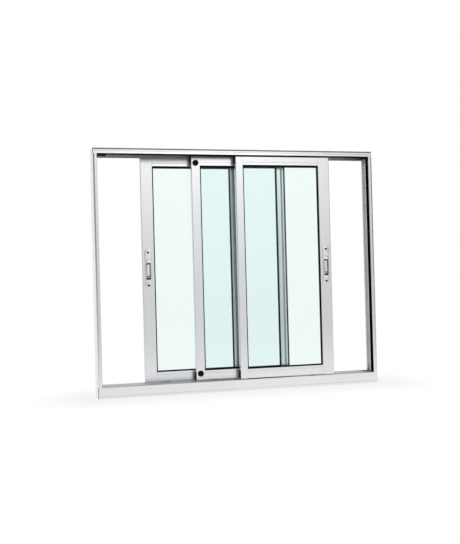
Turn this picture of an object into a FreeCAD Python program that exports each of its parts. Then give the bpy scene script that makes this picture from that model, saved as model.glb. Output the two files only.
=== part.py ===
"""Horizontal sliding window: an aluminium frame with three tracks and a glazed sash on each.

Millimetres. +Z is up, -Y is the front, and the origin is under the middle of the sill.
"""
import os
import re

import FreeCAD, Part
import Sketcher

# Driving dimensions: name, value
SIZES = [
    ("width", 1200),
    ("height", 1000),
    ("wall", 2),
    ("edge_break", 0.8),
    ("edge_round", 2.5),
    ("outer_round", 8),
    ("corner_pad", 1.2),
    ("track_pitch", 32),
    ("fin_thickness", 2),
    ("head_face", 23.5),
    ("head_rear_face", 28.5),
    ("head_fin", 20),
    ("head_line_drop", 14),
    ("face_line", 1),
    ("face_tilt", 0.6),
    ("head_seal_thickness", 3.5),
    ("head_seal_height", 17),
    ("head_seal_drop", 6),
    ("corner_flap", 44),
    ("corner_flap_drop", 11),
    ("sill_height", 46),
    ("sill_trough", 6),
    ("sill_line_rise", 10),
    ("rail_thickness", 3),
    ("jamb_face", 18),
    ("jamb_fin", 18.5),
    ("jamb_rear_face", 8),
    ("fixing_radius", 3),
    ("fixing_spacing", 500),
    ("seal_width", 15.5),
    ("seal_thickness", 1.2),
    ("sash_depth", 20),
    ("sash_wall", 1.8),
    ("sash_lift", 3),
    ("head_clearance", 10),
    ("closing_gap", 10),
    ("interlock_overlap", 29.5),
    ("lock_stile", 50),
    ("interlock_stile", 32),
    ("meeting_stile", 37.5),
    ("top_rail", 51.5),
    ("bottom_rail", 39.5),
    ("bottom_web", 3),
    ("bead_width", 10.5),
    ("stile_groove", 8),
    ("stile_groove_depth", 1),
    ("stile_groove_inset", 15.5),
    ("interlock_lip", 8),
    ("interlock_lip_depth", 1.1),
    ("interlock_seal", 11),
    ("interlock_seal_inset", 9),
    ("interlock_seal_rise", 1.5),
    ("edge_seal", 7),
    ("edge_seal_depth", 12),
    ("glazing_groove", 16),
    ("left_opening", 181),
    ("right_opening", 180),
    ("middle_shift", 10.5),
    ("glass_thickness", 5),
    ("gasket_width", 5),
    ("gasket_top", 9),
    ("gasket_grip", 6),
    ("gasket_slope", 4.5),
    ("dust_block", 3),
    ("dust_block_inset", 5),
    ("roller_radius", 8),
    ("roller_flange", 2.5),
    ("roller_flange_width", 2),
    ("roller_inset", 45),
    ("axle_radius", 2.5),
    ("running_gap", 0.3),
    ("rail_play", 0.6),
    ("guide_length", 40),
    ("guide_height", 4),
    ("guide_inset", 8),
    ("guide_play", 0.5),
    ("latch_rise", 513),
    ("latch_length", 160),
    ("latch_width", 28),
    ("latch_corner", 13),
    ("latch_thickness", 3),
    ("latch_body_length", 89),
    ("latch_body_width", 22),
    ("latch_body_corner", 6),
    ("latch_body_drop", 6.5),
    ("latch_body_height", 1),
    ("pocket_length", 68),
    ("pocket_width", 17),
    ("pocket_corner", 2.5),
    ("pocket_drop", 10),
    ("tongue_thickness", 1.2),
    ("tongue_reach", 9),
    ("thumb_length", 46),
    ("thumb_height", 3.2),
    ("thumb_edge", 1),
    ("thumb_fall", 0.8),
    ("thumb_crest_inset", 7),
    ("thumb_crest", 4.5),
    ("thumb_end_gap", 6),
    ("thumb_left_gap", 0.8),
    ("thumb_right_gap", 2.4),
    ("screw_spacing", 136),
    ("screw_radius", 4),
    ("screw_height", 1),
    ("button_radius", 12.5),
    ("button_height", 3.5),
    ("button_dome", 3),
    ("button_dome_radius", 7),
    ("button_bottom_inset", 27),
    ("button_top_inset", 41),
]

# Sizes and places that follow from the driving dimensions
DERIVED = {
    "frame_depth": "3 * track_pitch + fin_thickness",
    "front": "-frame_depth / 2",
    "rear": "frame_depth / 2",
    "edge_mid": "0.293 * edge_round",
    "outer_mid": "0.293 * outer_round",
    "bar_length": "width - 2 * wall - 2 * corner_pad",
    "bar_start": "-width / 2 + wall + corner_pad",
    "head_step": "head_rear_face - head_face",
    "flap_start": "-width / 2 + wall + outer_round",
    "jamb_height": "height - head_face - sill_height",
    "channel": "track_pitch - fin_thickness",
    "first_fin": "track_pitch",
    "second_fin": "2 * track_pitch",
    "rear_flange": "3 * track_pitch",
    "trough_floor": "sill_height - sill_trough",
    "first_rail": "track_pitch / 2 + fin_thickness / 2 - rail_thickness / 2",
    "sash_bottom": "sill_height + sash_lift",
    "sash_top": "height - wall - head_clearance",
    "sash_height": "sash_top - sash_bottom",
    "sight_bottom": "sash_bottom + bottom_rail",
    "sight_top": "sash_top - top_rail",
    "sight_height": "sight_top - sight_bottom",
    "closed_width": "width - 2 * wall - 2 * closing_gap + 2 * interlock_overlap",
    "stiles": "2 * lock_stile + 2 * interlock_stile + 2 * meeting_stile",
    "sight_width": "(closed_width - stiles) / 3",
    "left_sight": "-width / 2 + jamb_face + left_opening + lock_stile",
    "middle_sight": "middle_shift - sight_width / 2",
    "right_sight": "width / 2 - jamb_face - right_opening - lock_stile - sight_width",
    "glazing_gap": "sash_depth - 2 * sash_wall",
    "wheel_height": "sill_height + running_gap + roller_radius",
    "wheel_groove": "rail_thickness + 2 * rail_play",
    "wheel_width": "wheel_groove + 2 * roller_flange_width",
    "guide_width": "channel - 2 * guide_play",
    "right_meeting_stile": "meeting_stile - edge_seal",
    "thumb_width": "pocket_width - thumb_left_gap - thumb_right_gap",
    "latch_body_rise": "latch_rise - latch_body_drop",
    "pocket_rise": "latch_rise - pocket_drop",
    "thumb_top": "pocket_rise + pocket_length / 2 - thumb_end_gap",
    "tongue_length": "thumb_length + tongue_reach",
}

doc = FreeCAD.newDocument("SlidingWindow")
sheet = doc.addObject("Spreadsheet::Sheet", "Sizes")
for row, (alias, value) in enumerate(SIZES, start=1):
    sheet.set(f"A{row}", alias)
    sheet.set(f"B{row}", str(value))
    sheet.setAlias(f"B{row}", alias)
doc.recompute()

parts = []


def formula(text):
    """Spell a size or place out in the sheet's own cells."""
    def spell(match):
        word = match.group(0)
        if word in DERIVED:
            return f"({formula(DERIVED[word])})"
        return f"Sizes.{word}"
    return re.sub(r"[a-z_]+", spell, text)


def number(text):
    """The present value of a size or place."""
    return float(sheet.evalExpression(formula(text)))


def bind(thing, **sizes):
    """Tie an object's properties to the sheet."""
    for name, text in sizes.items():
        thing.setExpression(name, formula(text))


def place(thing, x, y, z):
    """Tie an object's place to the sheet."""
    for axis, text in zip("xyz", (x, y, z)):
        thing.setExpression(f"Placement.Base.{axis}", formula(text))


def finished(thing, label):
    """Name a finished sub-part."""
    thing.Label = label
    parts.append(thing)
    return thing


def outline(sketch, points):
    """Draw one closed outline of straight lines with every corner tied to the sheet."""
    first = sketch.GeometryCount
    corners = [FreeCAD.Vector(number(u), number(v), 0) for u, v in points]
    for start, end in zip(corners, corners[1:] + corners[:1]):
        sketch.addGeometry(Part.LineSegment(start, end))
    for step in range(len(points)):
        following = first + (step + 1) % len(points)
        sketch.addConstraint(Sketcher.Constraint("Coincident", first + step, 2, following, 1))
    for step, corner in enumerate(points):
        for kind, axis, text in zip(("DistanceX", "DistanceY"), (-2, -1), corner):
            if text == "0":
                sketch.addConstraint(Sketcher.Constraint("PointOnObject", first + step, 1, axis))
                continue
            limit = Sketcher.Constraint(kind, -1, 1, first + step, 1, number(text))
            index = sketch.addConstraint(limit)
            sketch.setExpression(f"Constraints[{index}]", formula(text))


def extrusion(name, plane, outlines, length):
    """An extruded profile: outlines on an origin plane, padded along its normal."""
    body = doc.addObject("PartDesign::Body", name)
    sketch = body.newObject("Sketcher::SketchObject", f"{name}_section")
    origin_plane = next(part for part in body.Origin.OriginFeatures if part.Role == plane)
    sketch.AttachmentSupport = (origin_plane, [""])
    sketch.MapMode = "FlatFace"
    for points in outlines:
        outline(sketch, points)
    pad = body.newObject("PartDesign::Pad", f"{name}_pad")
    pad.Profile = sketch
    bind(pad, Length=length)
    return body


def box(name, size, corner):
    """A block given by its size and its lowest corner."""
    block = doc.addObject("Part::Box", name)
    bind(block, Length=size[0], Width=size[1], Height=size[2])
    place(block, *corner)
    return block


def cylinder(name, radius, length, start, direction):
    """A round bar from a start point along an axis."""
    bar = doc.addObject("Part::Cylinder", name)
    bind(bar, Radius=radius, Height=length)
    bar.Placement = FreeCAD.Placement(
        FreeCAD.Vector(), FreeCAD.Rotation(FreeCAD.Vector(0, 0, 1), FreeCAD.Vector(*direction)))
    place(bar, *start)
    return bar


def joined(name, shapes):
    """Several shapes fused, or kept together where they do not touch."""
    fuse = doc.addObject("Part::MultiFuse", name)
    fuse.Shapes = shapes
    return fuse


def cut(name, base, tool):
    """One shape with another taken out of it."""
    result = doc.addObject("Part::Cut", name)
    result.Base = base
    result.Tool = tool
    return result


def slab(name, length, width, corner, thickness, centre, face):
    """An upright slab with rounded corners that stands out to the front of a face."""
    x, z = centre
    near = f"{face} - ({thickness})"
    pieces = []
    for wide, tall in ((f"{width} - 2 * {corner}", length), (width, f"{length} - 2 * {corner}")):
        foot = (f"{x} - ({wide}) / 2", near, f"{z} - ({tall}) / 2")
        pieces.append(box(f"{name}_block", (wide, thickness, tall), foot))
    for across in ("-", "+"):
        for along in ("-", "+"):
            side = f"{x} {across} ({width} / 2 - {corner})"
            level = f"{z} {along} ({length} / 2 - {corner})"
            pieces.append(cylinder(f"{name}_corner", corner, thickness, (side, near, level), (0, 1, 0)))
    return joined(name, pieces)


# Head: a channel that opens downwards, deeper at the rear, with a fin on each side of the middle track

def fin_steps(foot, tip, fins, thickness):
    """The outline of a row of fins that stand from a foot line to a tip line."""
    points = []
    for fin in fins:
        far = f"{fin} + {thickness}"
        points += [(fin, foot), (fin, tip), (far, tip), (far, foot)]
    return points


def face_line(level, foot="0"):
    """A fine lengthwise line rolled into a front face, listed from its upper edge down."""
    return [("0", f"{level} + face_line"), ("face_line", level), (foot, f"{level} - face_line")]


head_points = [("edge_break", "head_step"), ("wall", "head_step")]
head_points += [("wall", "head_rear_face - outer_round"), ("outer_round", "head_rear_face - wall")]
head_fins = ("first_fin", "second_fin")
head_points += fin_steps("head_rear_face - wall", "head_rear_face - head_fin", head_fins, "fin_thickness")
head_points += [
    ("rear_flange", "head_rear_face - wall"),
    ("rear_flange", "0"),
    ("frame_depth - edge_break", "0"),
    ("frame_depth", "edge_break"),
    ("frame_depth", "head_rear_face - edge_break"),
    ("frame_depth - edge_break", "head_rear_face"),
    ("outer_round", "head_rear_face"),
    ("outer_mid", "head_rear_face - outer_mid"),
    ("0", "head_rear_face - outer_round"),
]
head_points += face_line("head_rear_face - head_line_drop", "face_tilt")
head_points += [("0", "head_step + edge_break")]
head = extrusion("Head", "YZ_Plane", [head_points], "bar_length")
place(head, "bar_start", "front", "height - head_rear_face")
finished(head, "head")

# A brush seal behind the head's front flange, hanging a little below it, between the corner flaps

seal_size = ("-2 * (flap_start + corner_flap)", "head_seal_thickness", "head_seal_height")
seal_corner = ("flap_start + corner_flap", "front + wall", "height - head_face - head_seal_drop")
head_seal = box("head_brush", seal_size, seal_corner)
finished(head_seal, "head_seal")

# Sill: a hollow base with a trough on top, where a rail stands for each track

rails = [f"first_rail + {track} * track_pitch" for track in range(3)]
sill_points = [("edge_break", "0"), ("frame_depth - edge_break", "0"), ("frame_depth", "edge_break")]
sill_points += [
    ("frame_depth", "sill_height - edge_break"),
    ("frame_depth - edge_break", "sill_height"),
    ("rear_flange", "sill_height"),
    ("rear_flange", "trough_floor"),
]
sill_points += list(reversed(fin_steps("trough_floor", "sill_height", rails, "rail_thickness")))
sill_points += [
    ("wall", "trough_floor"),
    ("wall", "sill_height"),
    ("edge_break", "sill_height"),
    ("0", "sill_height - edge_break"),
]
sill_points += face_line("sill_line_rise")
sill_points += [("0", "edge_break")]
sill_hollow = [
    ("wall", "wall"),
    ("frame_depth - wall", "wall"),
    ("frame_depth - wall", "trough_floor - wall"),
    ("wall", "trough_floor - wall"),
]
sill = extrusion("Sill", "YZ_Plane", [sill_points, sill_hollow], "bar_length")
place(sill, "bar_start", "front", "0")
finished(sill, "sill")

# Jambs: channels with fins that stand between sill and head, on webs that close the ends of both


def jamb(side):
    """One jamb, its outlines measured from its inner edge outwards."""
    left = side == "left"
    web_inner = "jamb_face - wall"
    outer_edge = [("jamb_face - outer_mid", "outer_mid"), ("jamb_face", "outer_round")]
    section = [(web_inner, "outer_round"), ("jamb_face - outer_round", "wall")]
    section += [("0", "wall"), ("0", "edge_break"), ("edge_break", "0")]
    section += [("jamb_face - outer_round", "0"), *outer_edge]
    rear_edge = [("jamb_face", "frame_depth - edge_break"), ("jamb_face - edge_break", "frame_depth")]
    rear_edge += [(web_inner, "frame_depth")]
    section += rear_edge
    for fin in ("second_fin", "first_fin"):
        far = f"{fin} + fin_thickness"
        tip = "jamb_face - jamb_fin"
        section += [(web_inner, far), (tip, far), (tip, fin), (web_inner, fin)]
    web = [(web_inner, "outer_round"), ("jamb_face", "outer_round"), *rear_edge]
    if left:
        section = [("0" if u == "jamb_face" else f"jamb_face - ({u})", v) for u, v in section]
        web = [("0" if u == "jamb_face" else f"jamb_face - ({u})", v) for u, v in web]
    inner = "-width / 2" if left else "width / 2 - jamb_face"
    channel = extrusion(f"{side}_channel", "XY_Plane", [section], "jamb_height")
    place(channel, inner, "front", "sill_height")
    closure = extrusion(f"{side}_web", "XY_Plane", [web], "height")
    place(closure, inner, "front", "0")
    holes = []
    for sign in ("-", "+"):
        start = ("-width / 2" if left else "width / 2 - wall", "0", f"height / 2 {sign} fixing_spacing / 2")
        holes.append(cylinder(f"{side}_fixing", "fixing_radius", "wall", start, (1, 0, 0)))
    lip_size = ("jamb_rear_face - wall", "fin_thickness", "height - head_rear_face - sill_height")
    lip_edge = "-width / 2 + wall" if left else "width / 2 - jamb_rear_face"
    lip = box(f"{side}_rear_lip", lip_size, (lip_edge, "front + rear_flange", "sill_height"))
    solid = joined(f"{side}_solid", [channel, closure, lip])
    finished(cut(f"{side}_drilled", solid, joined(f"{side}_fixings", holes)), f"{side}_jamb")


def jamb_seal(side):
    """The brush seal on the front of a jamb's first fin."""
    seal_edge = "-width / 2 + wall" if side == "left" else "width / 2 - wall - seal_width"
    seal_size = ("seal_width", "seal_thickness", "jamb_height")
    seal = box(f"{side}_seal", seal_size, (seal_edge, "front + first_fin - seal_thickness", "sill_height"))
    finished(seal, f"{side}_jamb_seal")


for side in ("left", "right"):
    jamb(side)
    jamb_seal(side)

# Rubber pads that seal the ends of the head and sill against the jambs, and flaps behind the head's ends

pads = []
flap_height = "head_seal_height - head_seal_drop + corner_flap_drop"
for flap_edge in ("flap_start", "-flap_start - corner_flap"):
    flap_size = ("corner_flap", "head_seal_thickness", flap_height)
    flap_corner = (flap_edge, "front + wall", "height - head_face - corner_flap_drop")
    pads.append(box("corner_flap_rubber", flap_size, flap_corner))
for pad_edge in ("-width / 2 + wall", "width / 2 - wall - corner_pad"):
    for level, pad_height in (("0", "sill_height"), ("height - head_face", "head_face")):
        pad_size = ("corner_pad", "frame_depth - outer_round", pad_height)
        pads.append(box("corner_seal", pad_size, (pad_edge, "front + outer_round", level)))
finished(joined("corner_seals", pads), "corner_pads")

# Sashes: two stiles the full height, rails between them, glass in a rubber gasket, rollers and guides


def box_and_lips(span, front_line=(), tip=("edge_break", "edge_break")):
    """The section of a hollow bar with a glazing groove, measured from its glass edge outwards."""
    back = "sash_depth"
    tip_width, tip_depth = tip
    skin = [(tip_width, "0"), *front_line]
    skin += [(f"{span} - edge_round", "0"), (f"{span} - edge_mid", "edge_mid"), (span, "edge_round")]
    skin += [(span, f"{back} - edge_round"), (f"{span} - edge_mid", f"{back} - edge_mid")]
    skin += [(f"{span} - edge_round", back), ("edge_break", back), ("0", f"{back} - edge_break")]
    skin += [("0", f"{back} - sash_wall"), ("glazing_groove", f"{back} - sash_wall")]
    skin += [("glazing_groove", "sash_wall"), ("0", "sash_wall"), ("0", tip_depth)]
    floor = "glazing_groove + sash_wall"
    roof = f"{span} - sash_wall"
    hollow = [(floor, "sash_wall"), (roof, "sash_wall")]
    hollow += [(roof, f"{back} - sash_wall"), (floor, f"{back} - sash_wall")]
    return skin, hollow


def top_rail_section():
    """A bar and lips on its side, with the tilted face and the line of the glazing bead."""
    bead = [("bead_width - face_line", "face_tilt"), ("bead_width", "face_line")]
    bead += [("bead_width + face_line", "0")]
    section = box_and_lips("top_rail", bead)
    return [[(v, u) for u, v in points] for points in section]


def front_groove():
    """A square groove along the front face of a stile."""
    far = "stile_groove_inset + stile_groove"
    floor = "stile_groove_depth"
    return [("stile_groove_inset", "0"), ("stile_groove_inset", floor), (far, floor), (far, "0")]


def bottom_rail_section():
    """A channel for the rollers below, a web, and the glazing groove above."""
    back = "sash_depth"
    inner_back = f"{back} - sash_wall"
    web_top = "bottom_rail - glazing_groove"
    web_foot = f"{web_top} - bottom_web"
    bead = "bottom_rail - bead_width"
    points = [("edge_break", "0"), ("sash_wall", "0"), ("sash_wall", web_foot), (inner_back, web_foot)]
    points += [(inner_back, "0"), (f"{back} - edge_break", "0"), (back, "edge_break")]
    points += [(back, "bottom_rail - edge_break"), (f"{back} - edge_break", "bottom_rail")]
    points += [(inner_back, "bottom_rail"), (inner_back, web_top), ("sash_wall", web_top)]
    points += [("sash_wall", "bottom_rail"), ("edge_break", "bottom_rail")]
    points += [("0", "bottom_rail - edge_break")] + face_line(bead) + [("0", "edge_break")]
    return [points]


def stile(name, span, sight_edge, y, left, **face):
    """An upright bar whose glass edge stands at one side of the sight opening."""
    section = box_and_lips(span, **face)
    bar = extrusion(name.title().replace("_", ""), "XY_Plane", section, "sash_height")
    if left:
        half_turn = FreeCAD.Rotation(FreeCAD.Vector(0, 0, 1), 180)
        bar.Placement = FreeCAD.Placement(FreeCAD.Vector(), half_turn)
        place(bar, sight_edge, f"{y} + sash_depth / 2", "sash_bottom")
    else:
        place(bar, sight_edge, f"{y} - sash_depth / 2", "sash_bottom")
    finished(bar, name)


def glazing(name, sight, y):
    """The pane and the gasket that grips its edge and slopes from the bars to the glass."""
    pane_size = ("sight_width", "glass_thickness", "sight_height")
    pane_corner = (sight, f"{y} - glass_thickness / 2", "sight_bottom")
    finished(box(f"{name}_pane", pane_size, pane_corner), f"{name}_glass")
    outer_size = ("sight_width + 2 * gasket_grip", "glazing_gap", "sight_height + 2 * gasket_grip")
    outer_corner = (f"{sight} - gasket_grip", f"{y} - glazing_gap / 2", "sight_bottom - gasket_grip")
    outer = box(f"{name}_gasket_outer", outer_size, outer_corner)
    window_height = "sight_height - gasket_width - gasket_top"
    window_size = ("sight_width - 2 * gasket_width", "glazing_gap", window_height)
    window_corner = (f"{sight} + gasket_width", f"{y} - glazing_gap / 2", "sight_bottom + gasket_width")
    window = box(f"{name}_gasket_window", window_size, window_corner)
    slopes = [gasket_slope(name, sight, y, rear) for rear in (False, True)]
    slot = box(f"{name}_gasket_slot", pane_size, pane_corner)
    tool = joined(f"{name}_gasket_tool", [window, slot] + slopes)
    finished(cut(f"{name}_gasket_ring", outer, tool), f"{name}_gasket")


def gasket_slope(name, sight, y, rear):
    """The tapered opening that one face of a gasket leaves, widest at the bars."""
    wedge = doc.addObject("Part::Wedge", f"{name}_gasket_slope")
    bind(wedge, Xmin="0", Zmin="0", Xmax="sight_width", Zmax="sight_height", Ymin="0", Ymax="gasket_slope")
    bind(wedge, X2min="gasket_width", X2max="sight_width - gasket_width")
    bind(wedge, Z2min="gasket_width", Z2max="sight_height - gasket_top")
    if rear:
        half_turn = FreeCAD.Rotation(FreeCAD.Vector(0, 0, 1), 180)
        wedge.Placement = FreeCAD.Placement(FreeCAD.Vector(), half_turn)
        place(wedge, f"{sight} + sight_width", f"{y} + glazing_gap / 2", "sight_bottom")
    else:
        place(wedge, sight, f"{y} - glazing_gap / 2", "sight_bottom")
    return wedge


def running_gear(name, sight, y):
    """Grooved rollers on axles in the bottom rail, and guide blocks on the top rail."""
    wheels = []
    for x in (f"{sight} + roller_inset", f"{sight} + sight_width - roller_inset"):
        for radius, length in (
            ("axle_radius", "glazing_gap"),
            ("roller_radius", "wheel_width"),
        ):
            start = (x, f"{y} - ({length}) / 2", "wheel_height")
            wheels.append(cylinder(f"{name}_wheel", radius, length, start, (0, 1, 0)))
        for near in (f"{y} - wheel_width / 2", f"{y} + wheel_groove / 2"):
            start = (x, near, "wheel_height")
            flange = "roller_radius + roller_flange"
            wheels.append(cylinder(f"{name}_flange", flange, "roller_flange_width", start, (0, 1, 0)))
    finished(joined(f"{name}_wheels", wheels), f"{name}_rollers")
    guide_size = ("guide_length", "guide_width", "guide_height")
    guides = [
        box(f"{name}_guide", guide_size, (x, f"{y} - guide_width / 2", "sash_top"))
        for x in (f"{sight} + guide_inset", f"{sight} + sight_width - guide_inset - guide_length")
    ]
    finished(joined(f"{name}_blocks", guides), f"{name}_guides")


def sash(name, sight, y, left_span, right_span, **right_face):
    """One sash, built round its sight opening."""
    stile(f"{name}_left_stile", left_span, sight, y, True)
    stile(f"{name}_right_stile", right_span, f"{sight} + sight_width", y, False, **right_face)
    title = name.title().replace("_", "")
    top = extrusion(f"{title}TopRail", "YZ_Plane", top_rail_section(), "sight_width")
    place(top, sight, f"{y} - sash_depth / 2", "sight_top")
    finished(top, f"{name}_top_rail")
    bottom = extrusion(f"{title}BottomRail", "YZ_Plane", bottom_rail_section(), "sight_width")
    place(bottom, sight, f"{y} - sash_depth / 2", "sash_bottom")
    finished(bottom, f"{name}_bottom_rail")
    glazing(name, sight, y)
    running_gear(name, sight, y)


sash("left_sash", "left_sight", "track_pitch", "lock_stile", "interlock_stile",
     tip=("interlock_lip", "interlock_lip_depth"))
sash("middle_sash", "middle_sight", "0", "meeting_stile", "right_meeting_stile", front_line=front_groove())
sash("right_sash", "right_sight", "-track_pitch", "interlock_stile", "lock_stile")

# Latches: a plate on each lock stile with a pocket for the thumb piece and its tongue, and two screws


def latch(side, x, y):
    """One latch, centred on its stile; its pieces stand out from the stile's face."""
    face = f"({y} - sash_depth / 2)"
    plate = slab(f"{side}_plate", "latch_length", "latch_width", "latch_corner", "latch_thickness",
                 (x, "latch_rise"), face)
    full_height = "(latch_thickness + latch_body_height)"
    body = slab(f"{side}_body", "latch_body_length", "latch_body_width", "latch_body_corner", full_height,
                (x, "latch_body_rise"), face)
    pocket = slab(f"{side}_pocket", "pocket_length", "pocket_width", "pocket_corner", full_height,
                  (x, "pocket_rise"), face)
    blank = joined(f"{side}_plate_blank", [plate, body])
    finished(cut(f"{side}_plate_cut", blank, pocket), f"{side}_latch_plate")
    edge = f"{x} - pocket_width / 2 + thumb_left_gap"
    tongue_back = f"{face} - running_gap"
    tongue_front = f"{tongue_back} - tongue_thickness"
    tongue_size = ("thumb_width", "tongue_thickness", "tongue_length")
    tongue = box(f"{side}_tongue", tongue_size, (edge, tongue_front, "thumb_top - tongue_length"))
    finished(tongue, f"{side}_latch_tongue")
    slope = "thumb_height - thumb_edge"
    ridge = [("thumb_width", "thumb_height"), ("0", "thumb_height"), ("0", "thumb_fall")]
    ridge += [("thumb_crest_inset", "0"), ("thumb_crest_inset + thumb_crest", "0"), ("thumb_width", slope)]
    thumb = extrusion(f"{side}_thumb", "XY_Plane", [ridge], "thumb_length")
    place(thumb, edge, f"{tongue_front} - thumb_height", "thumb_top - thumb_length")
    finished(thumb, f"{side}_latch_thumb")
    screws = []
    for sign in ("+", "-"):
        start = (x, f"{face} - latch_thickness - screw_height", f"latch_rise {sign} screw_spacing / 2")
        screws.append(cylinder(f"{side}_screw", "screw_radius", "screw_height", start, (0, 1, 0)))
    finished(joined(f"{side}_screws", screws), f"{side}_latch_screws")


latch("left", "(left_sight - lock_stile / 2)", "track_pitch")
latch("right", "(right_sight + sight_width + lock_stile / 2)", "-track_pitch")

# Brush seals towards the next sash: on the face of the left sash, and in the groove of the middle sash


def interlock_seal(name, width, corner, thickness):
    """An upright brush seal on the front of a right stile."""
    x, y = corner
    finished(box(f"{name}_brush", (width, thickness, "sash_height"), (x, y, "sash_bottom")), name)


seal_corner = ("left_sight + sight_width + interlock_seal_inset",
               "track_pitch - sash_depth / 2 - interlock_seal_rise")
interlock_seal("left_sash_interlock_seal", "interlock_seal", seal_corner, "interlock_seal_rise")
seal_corner = ("middle_sight + sight_width + stile_groove_inset", "-sash_depth / 2 - interlock_seal_rise")
interlock_seal("middle_sash_interlock_seal", "stile_groove", seal_corner,
               "interlock_seal_rise + stile_groove_depth")

# Rubber dust blocks on the left edges of the front sashes, at the height of the rails behind


def dust_blocks(name, edge, y):
    """Two blocks at the ends of a left stile."""
    depth = "(sash_depth - 2 * edge_round)"
    blocks = []
    for foot, tall in (
        ("sash_bottom", "bottom_rail - dust_block_inset"),
        ("sight_top + dust_block_inset", "top_rail - dust_block_inset"),
    ):
        corner = (f"{edge} - dust_block", f"{y} - {depth} / 2", foot)
        blocks.append(box(f"{name}_rubber", ("dust_block", depth, tall), corner))
    finished(joined(f"{name}_pair", blocks), name)


dust_blocks("middle_sash_dust_blocks", "middle_sight - meeting_stile", "0")
dust_blocks("right_sash_dust_blocks", "right_sight - interlock_stile", "-track_pitch")

# Trim of the middle sash: a brush seal on its right edge, and rubber buttons on its left stile

seal_size = ("edge_seal", "edge_seal_depth", "sash_height")
seal_edge = "middle_sight + sight_width + right_meeting_stile"
edge_seal = box("edge_brush", seal_size, (seal_edge, "-edge_seal_depth / 2", "sash_bottom"))
finished(edge_seal, "middle_sash_edge_seal")


def button(name, level):
    """A rubber button with a bevelled top, seated on the stile's face."""
    seat = ("middle_sight - meeting_stile / 2", "-sash_depth / 2 - button_height", level)
    foot = cylinder(f"{name}_foot", "button_radius", "button_height", seat, (0, 1, 0))
    top = doc.addObject("Part::Cone", f"{name}_top")
    bind(top, Radius1="button_radius", Radius2="button_dome_radius", Height="button_dome")
    toward_front = FreeCAD.Rotation(FreeCAD.Vector(0, 0, 1), FreeCAD.Vector(0, -1, 0))
    top.Placement = FreeCAD.Placement(FreeCAD.Vector(), toward_front)
    place(top, *seat)
    return joined(name, [foot, top])


buttons = [
    button("lower_button", "sash_bottom + button_bottom_inset"),
    button("upper_button", "sash_top - button_top_inset"),
]
finished(joined("buttons", buttons), "middle_sash_buttons")

# Recompute, test every object, and write each sub-part

doc.recompute()
for thing in doc.Objects:
    if "Invalid" in thing.State or "Error" in thing.State:
        raise RuntimeError(f"{thing.Label} did not recompute: {thing.State}")
os.makedirs("parts", exist_ok=True)
for part in parts:
    shape = part.Shape
    if shape.isNull() or not shape.isValid() or not shape.Solids:
        raise RuntimeError(f"{part.Label} is not a valid solid")
    shape.exportStep(f"parts/{part.Label}.step")
    print(f"{part.Label}: {len(shape.Solids)} solid, {shape.Volume / 1000:.1f} cm3")
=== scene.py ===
"""Horizontal sliding window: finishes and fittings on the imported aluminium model, and a plain studio."""

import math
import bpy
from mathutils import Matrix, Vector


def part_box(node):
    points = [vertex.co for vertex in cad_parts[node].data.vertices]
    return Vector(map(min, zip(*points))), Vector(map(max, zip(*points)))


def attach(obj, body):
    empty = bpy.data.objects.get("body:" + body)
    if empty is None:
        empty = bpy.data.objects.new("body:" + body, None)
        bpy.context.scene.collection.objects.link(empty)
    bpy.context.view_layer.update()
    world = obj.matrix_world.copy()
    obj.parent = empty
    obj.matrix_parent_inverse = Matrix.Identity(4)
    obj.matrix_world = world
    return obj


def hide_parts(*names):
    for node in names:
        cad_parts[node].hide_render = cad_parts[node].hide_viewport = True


bl_info = {
    "name": "Sliding Window",
    "version": (1, 0, 0),
    "blender": (4, 5, 0),
    "location": "View3D > Sidebar > Window",
    "description": "Finishes and small fittings of an aluminium sliding window",
    "category": "Object",
}

import bmesh
import bpy
from bpy.props import FloatProperty, FloatVectorProperty, PointerProperty
from mathutils import Euler, Vector

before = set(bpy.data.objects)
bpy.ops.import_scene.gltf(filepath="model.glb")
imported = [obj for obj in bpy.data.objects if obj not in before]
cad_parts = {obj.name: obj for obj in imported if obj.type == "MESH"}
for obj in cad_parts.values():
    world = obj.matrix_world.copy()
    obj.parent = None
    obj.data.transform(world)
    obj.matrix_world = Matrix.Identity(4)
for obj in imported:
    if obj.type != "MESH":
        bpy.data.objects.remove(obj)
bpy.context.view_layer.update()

MM = 0.001
# A vertex this near a level is taken to lie on it
HAIR = 0.01 * MM
X, Y, Z = 0, 1, 2
SASHES = ("left_sash", "middle_sash", "right_sash")
SIDES = ("left", "right")
X_BARS = ["head", "sill"] + [f"{sash}_{rail}" for sash in SASHES for rail in ("top_rail", "bottom_rail")]
Z_BARS = ["left_jamb", "right_jamb"]
Z_BARS += [f"{sash}_{stile}" for sash in SASHES for stile in ("left_stile", "right_stile")]

# The camera, fitted to the window's edges in the photo
CAMERA_PLACE = (-0.9161, -3.3341, 0.4619)
CAMERA_TURN = math.radians(-14.790)
CAMERA_TILT = math.radians(90.506)
CAMERA_ROLL = math.radians(-1.504)
CAMERA_LENS = 54.53
SENSOR_WIDTH = 36
FLOOR_SIZE = 60


def linear(hex_code):
    """An sRGB hex colour as linear red, green and blue."""
    channels = [int(hex_code[i:i + 2], 16) / 255 for i in (1, 3, 5)]
    return tuple(c / 12.92 if c <= 0.04045 else ((c + 0.055) / 1.055) ** 2.4 for c in channels)


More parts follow.
